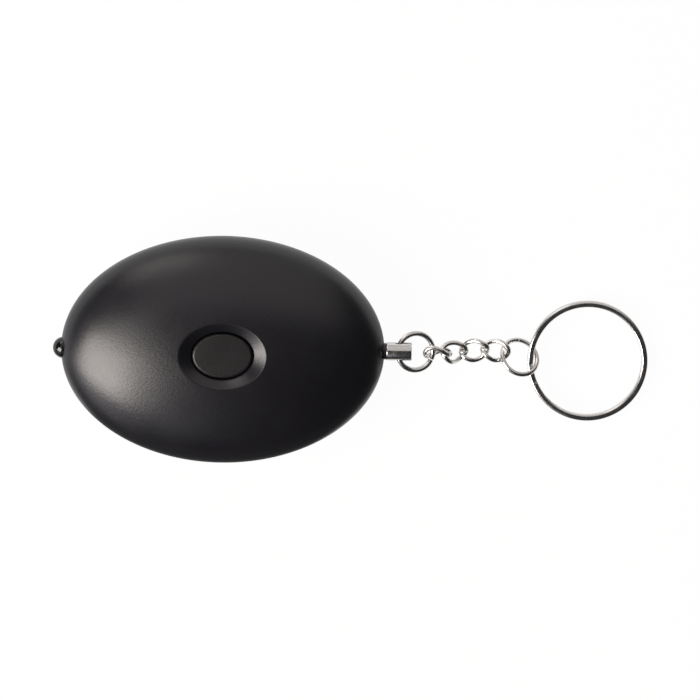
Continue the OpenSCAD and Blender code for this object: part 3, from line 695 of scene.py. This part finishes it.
def end_tree(tree, solid, given):
    """Ends a tree in plain geometry with its material."""
    real = add(tree, "GeometryNodeRealizeInstances", {"Geometry": solid})[0]
    done = add(tree, "GeometryNodeSetMaterial", {"Geometry": real, "Material": given["Material"]})[0]
    add(tree, "NodeGroupOutput", {"Geometry": done})
    return tree


def link_tree():
    """A wire loop whose ends are turned opposite ways about its length."""
    tree, given = new_tree("twisted_link", [*sizes("Length", "Width", "Wire", "Twist"), *PLACING])
    loop = add(tree, "GeometryNodeCurvePrimitiveCircle", {"Resolution": 128, "Radius": 1.0})[0]
    place = add(tree, "GeometryNodeInputPosition")[0]
    x, y, _ = add(tree, "ShaderNodeSeparateXYZ", {0: place})
    half_l, half_w = (half_of(tree, given[name], given["Wire"]) for name in ("Length", "Width"))
    ends = add(tree, "ShaderNodeMath", {0: x, 1: half_l}, **TIMES)[0]
    sides = add(tree, "ShaderNodeMath", {0: y, 1: half_w}, **TIMES)[0]
    flat = add(tree, "ShaderNodeCombineXYZ", {0: ends, 1: sides})[0]
    turn = add(tree, "ShaderNodeMath", {0: x, 1: given["Twist"]}, **TIMES)[0]
    twist = {"Vector": flat, "Angle": turn}
    bent = add(tree, "ShaderNodeVectorRotate", twist, rotation_type="X_AXIS")[0]
    path = add(tree, "GeometryNodeSetPosition", {"Geometry": loop, "Position": bent})[0]
    return end_tree(tree, lay(tree, round_wire(tree, path, given["Wire"]), given), given)


def ring_tree():
    """A round wire bent to a ring with a narrow cut."""
    tree, given = new_tree("jump_ring", [*sizes("Diameter", "Wire", "Cut", "Cut at"), *PLACING])
    radius = half_of(tree, given["Diameter"], given["Wire"])
    cut = add(tree, "ShaderNodeMath", {0: given["Cut"], 1: radius}, operation="DIVIDE")[0]
    after = {0: cut, 1: 0.5, 2: given["Cut at"]}
    start = add(tree, "ShaderNodeMath", after, operation="MULTIPLY_ADD")[0]
    sweep = add(tree, "ShaderNodeMath", {0: FULL_TURN, 1: cut}, **MINUS)[0]
    bend = {"Resolution": 120, "Radius": radius, "Start Angle": start, "Sweep Angle": sweep}
    path = add(tree, "GeometryNodeCurveArc", bend)[0]
    return end_tree(tree, lay(tree, round_wire(tree, path, given["Wire"]), given), given)


def split_tree():
    """A flat wire of almost two turns that steps from the upper turn to the lower one."""
    wire = sizes("Diameter", "Band", "Height", "Gap", "Edge", "Step", "Start")
    tree, given = new_tree("split_ring", [*wire, *PLACING])
    radius = half_of(tree, given["Diameter"], given["Band"])
    wrap = add(tree, "ShaderNodeMath", {0: 2 * FULL_TURN, 1: given["Step"]}, **MINUS)[0]
    along = add(tree, "GeometryNodeSplineParameter")["Factor"]
    wound = add(tree, "ShaderNodeMath", {0: along, 1: wrap}, **TIMES)[0]
    level = add(tree, "ShaderNodeMath", {0: given["Height"], 1: given["Gap"]}, **PLUS)[0]
    high, low = (add(tree, "ShaderNodeMath", {0: level, 1: share}, **TIMES)[0] for share in (0.5, -0.5))
    first = add(tree, "ShaderNodeMath", {0: FULL_TURN, 1: given["Step"]}, **MINUS)[0]
    step = {"Value": wound, "From Min": first, "From Max": FULL_TURN, "To Min": high, "To Max": low}
    place = {2: add(tree, "ShaderNodeMapRange", step, **SMOOTH)["Result"]}
    turn = add(tree, "ShaderNodeMath", {0: wound, 1: given["Start"]}, **PLUS)[0]
    for axis, way in enumerate(("COSINE", "SINE")):
        share = add(tree, "ShaderNodeMath", {0: turn}, operation=way)[0]
        place[axis] = add(tree, "ShaderNodeMath", {0: share, 1: radius}, **TIMES)[0]
    point = add(tree, "ShaderNodeCombineXYZ", place)[0]
    line = add(tree, "GeometryNodeCurvePrimitiveLine", {"End": (1.0, 0.0, 0.0)})[0]
    dense = add(tree, "GeometryNodeResampleCurve", {"Curve": line, "Count": 360})[0]
    path = add(tree, "GeometryNodeSetPosition", {"Geometry": dense, "Position": point})[0]
    upright = add(tree, "GeometryNodeSetCurveNormal", {"Curve": path}, mode="Z_UP")[0]
    band = {"Width": given["Band"], "Height": given["Height"]}
    flat = add(tree, "GeometryNodeCurvePrimitiveQuadrilateral", band)[0]
    edge = {"Curve": flat, "Count": 4, "Radius": given["Edge"]}
    eased = add(tree, "GeometryNodeFilletCurve", edge, mode="POLY")[0]
    swept = {"Curve": upright, "Profile Curve": eased, "Fill Caps": True}
    solid = add(tree, "GeometryNodeCurveToMesh", swept)[0]
    return end_tree(tree, lay(tree, solid, given), given)


def grow(made, tree, values):
    """Runs a geometry tree on an object with its inputs set, and keeps the result as a plain mesh."""
    step = made.modifiers.new("tree", "NODES")
    step.node_group = tree
    for item in tree.interface.items_tree:
        if item.in_out == "INPUT" and item.name in values:
            step[item.identifier] = values[item.name]
    plain_mesh(made)
    if not made.data.polygons:
        raise RuntimeError(f"{made.name} came out empty")
    return made


class ALARM_OT_chain(Operator):
    """Builds the two jump rings and the twisted links"""

    bl_idname = "alarm.chain"
    bl_label = "Chain"

    def execute(self, context):
        s = context.scene.alarm_chain
        plate = nickel_wire()
        pin_place, *link_places, key_place, _ = chain_places(s)
        ring, link = ring_tree(), link_tree()
        # Piece, body, wire, where the cut is in degrees, place and lie
        rings = (
            ("pin_jump_ring", "pin_ring", s.pin_wire, -24, pin_place, PIN_RING_POSE),
            ("key_jump_ring_wire", "key_jump_ring", s.key_wire, 105, key_place, KEY_RING_POSE),
        )
        for name, body, wire, cut_at, place, pose in rings:
            values = {"Diameter": s.ring, "Wire": wire, "Cut": s.ring_cut, "Cut at": radians(cut_at)}
            values |= {"Centre": place, "Turn": lie(pose), "Material": plate}
            made = grow(as_object(name, bmesh.new()), ring, values)
            settle(made, plate, body, body)
        shape = {"Length": s.link_length, "Width": s.link_width, "Wire": s.link_wire, "Twist": s.link_twist}
        for number, (place, pose) in enumerate(zip(link_places, LINK_POSES), 1):
            values = {**shape, "Centre": place, "Turn": lie(pose), "Material": plate}
            made = grow(as_object(f"twisted_link_{number}", bmesh.new()), link, values)
            body = f"chain_link_{number}"
            settle(made, plate, body, body)
        return {"FINISHED"}


class ALARM_OT_split_ring(Operator):
    """Builds the double-turn key ring"""

    bl_idname = "alarm.split_ring"
    bl_label = "Split ring"

    def execute(self, context):
        s = context.scene.alarm_chain
        plate = nickel_wire()
        step, start, crease = 54, 204, 50
        values = {"Diameter": s.split, "Band": s.split_band, "Height": s.split_height}
        values |= {"Gap": s.split_gap, "Edge": s.split_edge}
        values |= {"Step": radians(step), "Start": radians(start), "Material": plate}
        values |= {"Centre": chain_places(s)[-1], "Turn": lie(SPLIT_POSE)}
        made = grow(as_object("split_key_ring", bmesh.new()), split_tree(), values)
        settle(made, plate, "split_ring", "split_ring", crease)
        return {"FINISHED"}


class ALARM_OT_screws(Operator):
    """Sets the case screws into the rear moulding"""

    bl_idname = "alarm.screws"
    bl_label = "Case screws"

    def execute(self, context):
        # Bright zinc plate on cold-formed steel: pale grey with a soft shine
        worn = dict(grain=0.3, bump=0.2, cloud=1.5, spread=0.06, shade=0.1)
        zinc = finish("zinc_plated_steel", linear("#a9aaad"), rough=0.32, metallic=1.0, **worn)
        screw = self.screw()
        places = bmesh.new()
        for x, y in SCREWS:
            places.verts.new((x, y, SCREW_SEAT_Z))
        made = grow(as_object("case_screw_set", places), self.set_tree(), {"Screw": screw, "Material": zinc})
        bpy.data.objects.remove(screw)
        settle(made, zinc, "housing", "case_screws")
        return {"FINISHED"}

    def screw(self):
        """One screw about Z, with its seat at the origin and a tapered cross in its head"""
        core, crown, head, shank = 0.2, 1.2, 1.9, 0.95
        top, brim, tip = -1.4, -0.9, 10
        profile = [(core, top), (crown, top, 0.3), (head, brim, 0.35), (head, 0, 0.1)]
        profile += [(shank, 0, 0.1), (shank, tip, 0.3), (core, tip)]
        made = as_object("screw", turned(profile, steps=48))
        mouth, root, thick, above, bottom, first_turn = 2.3 / 2, 1.3 / 2, 0.5 / 2, -1.75, -0.6, 20
        blades = []
        for turn in (0, 90):
            levels = [
                [(x * half, y * thick, z) for x, y in ((-1, -1), (1, -1), (1, 1), (-1, 1))]
                for half, z in ((mouth, above), (root, bottom))
            ]
            aim = Matrix.Rotation(radians(turn + first_turn), 4, "Z")
            blades.append(as_object("blade", stacked(levels), aim))
        carve(made, blades, "DIFFERENCE")
        return made

    def set_tree(self):
        """Puts a screw on every point, each driven home at another turn"""
        sockets = [("Geometry", "NodeSocketGeometry"), ("Screw", "NodeSocketObject"), PLACING[-1]]
        tree, given = new_tree("screw_set", sockets)
        screw = {"Object": given["Screw"]}
        shape = add(tree, "GeometryNodeObjectInfo", screw, transform_space="ORIGINAL")["Geometry"]
        number = add(tree, "GeometryNodeInputIndex")[0]
        turn_each = 0.9
        spun = add(tree, "ShaderNodeMath", {0: number, 1: turn_each}, **TIMES)[0]
        turn = add(tree, "ShaderNodeCombineXYZ", {2: spun})[0]
        driven = {"Points": given["Geometry"], "Instance": shape, "Rotation": turn}
        return end_tree(tree, add(tree, "GeometryNodeInstanceOnPoints", driven)[0], given)


class ALARM_OT_inner_parts(Operator):
    """Gives the sealed inner parts their finishes"""

    bl_idname = "alarm.inner_parts"
    bl_label = "Inner parts"

    # Nodes, then the name, colour, roughness, metallic, grain, bump, cloud, spread and shade of their finish.
    # The true grain of these surfaces is finer, and is drawn coarser to show.
    finishes = {
        # Warm yellow with a fine rolling grain
        ("siren_disc", "contact_leaf_upper", "contact_leaf_lower"):
            ("rolled_brass", "#c9a45c", 0.28, 1.0, 0.25, 0.2, 3, 0.06, 0.1),
        # Cool grey with soft stains
        ("battery_cells", "battery_contact_positive", "battery_contact_negative"):
            ("bare_sheet_steel", "#b4b4b2", 0.3, 1.0, 0.25, 0.2, 3, 0.05, 0.08),
        # Pale, a little warm, and uneven from dipping
        ("led_leads",): ("tinned_steel", "#b9b8b4", 0.3, 1.0, 0.3, 0.2, 6, 0.04, 0.08),
        # Dull near-black with a gritty skin
        ("switch_body", "drive_transistor", "control_chip"):
            ("moulded_epoxy", "#1d1d1f", 0.6, 0.0, 0.15, 0.4, 2, 0.05, 0.1),
        # Creamy white with a soft shine
        ("switch_plunger", "contact_carrier"): ("white_nylon", "#e4e1d8", 0.5, 0.0, 0.3, 0.2, 4, 0.04, 0.04),
        # Glossy green, with the laminate's weave as soft clouds
        ("circuit_board",): ("green_solder_mask", "#1f5b34", 0.35, 0.0, 0.5, 0.3, 1.8, 0.05, 0.2),
        # Chalky pale grey with a sanded look
        ("siren_ceramic",): ("silvered_ceramic", "#d8d6d0", 0.45, 0.0, 0.2, 0.4, 3, 0.08, 0.06),
        # Even red with a dull shine
        ("siren_wires",): ("red_wire_insulation", "#a3201c", 0.5, 0.0, 0.4, 0.2, 2, 0.05, 0.08),
        # Dark grey stone with a rough grain
        ("coil_core",): ("sintered_ferrite", "#37373a", 0.65, 0.0, 0.15, 0.5, 1.5, 0.06, 0.15),
        # Turns of 0.3 mm wire as fine bright rings round the coil, by a stretched grain
        ("coil_winding",):
            ("enamelled_copper_wire", "#b8683a", 0.28, 1.0, 0.3, 0.9, 2, 0.05, 0.12, (0.05, 0.05, 1)),
        # Glossy dark blue with slight ripples
        ("board_capacitor",): ("shrunk_blue_sleeve", "#26344f", 0.3, 0.0, 0.5, 0.2, 3, 0.05, 0.1),
    }

    def execute(self, context):
        for nodes, (name, code, *marks) in self.finishes.items():
            surface = finish(name, linear(code), *marks)
            for node in nodes:
                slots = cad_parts[node].data.materials
                slots.clear()
                slots.append(surface)
        return {"FINISHED"}


class ALARM_OT_stage(Operator):
    """Sets the floor, the soft light and the camera"""

    bl_idname = "alarm.stage"
    bl_label = "Stage"

    def execute(self, context):
        scene = context.scene
        scene.view_settings.view_transform = "Standard"
        self.floor()
        self.room(scene)
        self.lamps()
        self.camera(scene)
        return {"FINISHED"}

    def floor(self):
        """A white sheet that keeps a faint shadow, with painted shade and painted light in what mirrors it"""
        bm = bmesh.new()
        bmesh.ops.create_grid(bm, x_segments=8, y_segments=8, size=8)
        made = as_object("floor", bm, scale=1)
        # White paper: pure white in the picture. In what mirrors it, shade is painted near black in front of
        # the object, and light is painted in a few spots
        surface = bpy.data.materials.new("white_paper_sheet")
        tree = bare_tree(surface)
        ray = add(tree, "ShaderNodeLightPath")
        seen = ray["Is Camera Ray"]
        for other in ("Is Glossy Ray", "Is Transmission Ray"):
            seen = add(tree, "ShaderNodeMath", {0: seen, 1: ray[other]}, **LARGER)[0]
        # The small rest is lit as paper, so a faint shadow shows
        white_share = 0.97
        share = add(tree, "ShaderNodeMath", {0: seen, 1: white_share}, **TIMES)[0]
        # The white's strength carries the painted shade and the painted light that reflections show
        strength = self.painted_mirror_light_and_shade(tree, ray["Is Camera Ray"])
        paper = add(tree, "ShaderNodeBsdfDiffuse", {"Color": (*linear("#f4f4f4"), 1)})[0]
        glow = {"Color": (*linear("#ffffff"), 1), "Strength": strength}
        white = add(tree, "ShaderNodeEmission", glow)[0]
        mixed = add(tree, "ShaderNodeMixShader", {0: share, 1: paper, 2: white})[0]
        add(tree, "ShaderNodeOutputMaterial", {"Surface": mixed})
        made.data.materials.append(surface)

    def painted_mirror_light_and_shade(self, tree, strength):
        """How white the sheet is in a mirror: painted shade near black in front, apart from a few spots of
        painted light
        """
        place = add(tree, "ShaderNodeTexCoord")["Object"]
        # Painted shade: the mirrored sheet falls to near black in front of the object
        front, near, far, painted_front_shade = (0.2, -0.98, 0), -15, 30, 0.06
        ahead = add(tree, "ShaderNodeVectorMath", {0: place, 1: front}, operation="DOT_PRODUCT")["Value"]
        painted_front_fall = {"Value": ahead, "From Min": near * MM, "From Max": far * MM}
        painted_fades = [{**painted_front_fall, "To Min": 1.0, "To Max": painted_front_shade}]
        # Painted light: spots of white painted into the mirrored sheet. Middle and half sizes of each in
        # millimetres, where it fades as shares of those, and its strength
        painted_light_patches = (
            ((0, 0), (37.5, 26.5), (1.0, 1.9), 0.35),  # round the housing
            ((36, -18), (22, 16), (0.4, 1.3), 0.9),  # beside the pin
            ((-48, -19), (16, 14), (0.4, 1.2), 1.0),  # beside the light
            ((77, -2), (29, 19), (0.8, 1.05), 1.0),  # under the chain
        )
        for (x, y), (half_l, half_w), (inner, outer), white in painted_light_patches:
            apart = add(tree, "ShaderNodeVectorMath", {0: place, 1: (x * MM, y * MM, 0)}, **MINUS)[0]
            spans = (1 / (half_l * MM), 1 / (half_w * MM), 0)
            shares = add(tree, "ShaderNodeVectorMath", {0: apart, 1: spans}, **TIMES)[0]
            away = add(tree, "ShaderNodeVectorMath", {0: shares}, operation="LENGTH")["Value"]
            fade = {"Value": away, "From Min": inner, "From Max": outer}
            painted_fades.append({**fade, "To Min": white, "To Max": 0.0})
        for fade in painted_fades:
            patch = add(tree, "ShaderNodeMapRange", fade, **SMOOTH)["Result"]
            strength = add(tree, "ShaderNodeMath", {0: strength, 1: patch}, **LARGER)[0]
        return strength

    def room(self, scene):
        """A dim room"""
        scene.world = bpy.data.worlds.new("studio")
        tree = bare_tree(scene.world)
        dim = add(tree, "ShaderNodeBackground", {"Color": (*linear("#353537"), 1), "Strength": 1.0})
        add(tree, "ShaderNodeOutputWorld", {"Surface": dim[0]})

    def lamps(self):
        """Soft boxes that face the object, each with its first side along a direction"""
        across, upright = (1, 0, 0), (0, 0, 1)
        # Direction from the object and of the first side, distance and sides in metres, watts and colour
        boxes = {
            "key_light": ((-0.715, -0.285, 0.625), (0.29, -0.17, 0.13), 0.85, (0.55, 0.51), 10.0, "#fff8f2"),
            "top_light": ((-0.58, 0.04, 0.81), across, 0.9, (0.3, 0.3), 0.65, "#fff9f4"),
            "rear_light": ((0.1, 0.77, 0.63), across, 0.9, (1.4, 1.25), 3.5, "#fff9f7"),
            "side_light": ((-0.42, 0.84, 0.31), across, 0.9, (0.4, 0.46), 0.98, "#fff4f0"),
            "front_light": ((-0.44, -0.7, 0.6), across, 0.9, (0.7, 0.6), 0.5, "#f4f4ff"),
            "low_light": ((-0.82, -0.54, 0.2), upright, 0.9, (0.3, 0.8), 0.75, "#f8f6fa"),
        }
        for name, (direction, along, distance, sides, watts, code) in boxes.items():
            data = bpy.data.lights.new(name, "AREA")
            data.shape = "RECTANGLE"
            data.size, data.size_y = sides
            data.energy = watts
            data.color = linear(code)
            made = bpy.data.objects.new(name, data)
            bpy.context.scene.collection.objects.link(made)
            way = Vector(direction).normalized()
            side = Vector(along)
            side = (side - way * side.dot(way)).normalized()
            turn = Matrix((side, way.cross(side), way)).transposed().to_4x4()
            made.matrix_world = Matrix.Translation(MIDDLE + way * distance) @ turn

    def camera(self, scene):
        """A long lens that looks down on the alarm"""
        s = scene.alarm_stage
        flat_right = Vector((1, 0, 0))
        flat_up = Vector((0, cos(s.tilt), -sin(s.tilt)))
        away = Vector((0, sin(s.tilt), cos(s.tilt)))
        right = flat_right * cos(s.roll) + flat_up * sin(s.roll)
        up = flat_up * cos(s.roll) - flat_right * sin(s.roll)
        data = bpy.data.cameras.new("camera")
        data.sensor_width = SENSOR
        data.lens = s.lens
        data.clip_end = 20
        made = bpy.data.objects.new("camera", data)
        scene.collection.objects.link(made)
        turn = Matrix((right, up, away)).transposed().to_4x4()
        made.matrix_world = Matrix.Translation(MIDDLE + away * s.field * s.lens / SENSOR) @ turn
        scene.camera = made


class ALARM_PT_panel(Panel):
    """Lists the pieces of the alarm"""

    bl_idname = "ALARM_PT_panel"
    bl_label = "Safety alarm"
    bl_space_type = "VIEW_3D"
    bl_region_type = "UI"
    bl_category = "Alarm"

    def draw(self, context):
        for step in STEPS:
            self.layout.operator(step.bl_idname)
        for name in SETTINGS:
            group = getattr(context.scene, name)
            box = self.layout.box()
            for key in group.__annotations__:
                box.prop(group, key)


SETTINGS = {"alarm_housing": AlarmHousing, "alarm_chain": AlarmChain, "alarm_stage": AlarmStage}
STEPS = (
    ALARM_OT_housing,
    ALARM_OT_button,
    ALARM_OT_light,
    ALARM_OT_pull_pin,
    ALARM_OT_chain,
    ALARM_OT_split_ring,
    ALARM_OT_screws,
    ALARM_OT_inner_parts,
    ALARM_OT_stage,
)


def register():
    for cls in (*SETTINGS.values(), *STEPS, ALARM_PT_panel):
        bpy.utils.register_class(cls)
    for name, cls in SETTINGS.items():
        setattr(Scene, name, PointerProperty(type=cls))


def unregister():
    for name in SETTINGS:
        delattr(Scene, name)
    for cls in (ALARM_PT_panel, *reversed(STEPS), *SETTINGS.values()):
        bpy.utils.unregister_class(cls)


def main():
    """Builds every piece in order."""
    register()
    for step in STEPS:
        group, name = step.bl_idname.split(".")
        if getattr(getattr(bpy.ops, group), name)() != {"FINISHED"}:
            raise RuntimeError(f"{step.bl_label} did not finish")


if __name__ == "__main__":
    main()
